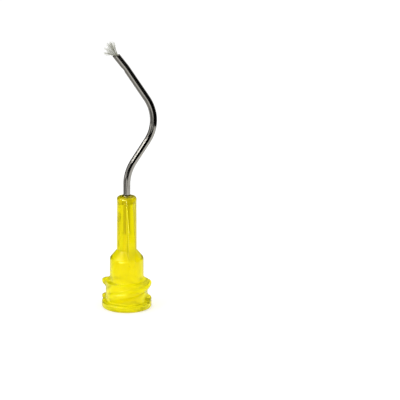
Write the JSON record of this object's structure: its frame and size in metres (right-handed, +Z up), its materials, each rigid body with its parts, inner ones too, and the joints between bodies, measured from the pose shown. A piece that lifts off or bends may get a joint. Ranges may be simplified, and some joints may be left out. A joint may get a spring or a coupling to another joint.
{
  "type": "dental irrigation tip",
  "caption": "Irrigation tip with a moulded screw-lock hub, a steel tube bent to an S and bonded into it, and a soft fibre tuft at the outlet, for placing and scrubbing a liquid in a tooth.",
  "frame": {"origin": "centre of the socket's mouth, on the rim that the tip stands on", "axes": "+Z up the hub's axis towards the cannula, +X the way the cannula bends first, the S lies in the XZ plane"},
  "size_m": [0.0084, 0.0078, 0.0414],
  "materials": {
    "hub_plastic": "translucent yellow moulding, glossy",
    "cannula_steel": "bright drawn stainless tube",
    "bond_resin": "clear cured adhesive, glossy",
    "fibre_white": "fine off-white bristle fibres"
  },
  "bodies": {
    "root": {"hub": "hub_plastic", "cannula": "cannula_steel", "adhesive": "bond_resin", "brush_fibres": "fibre_white"}
  },
  "joints": []
}
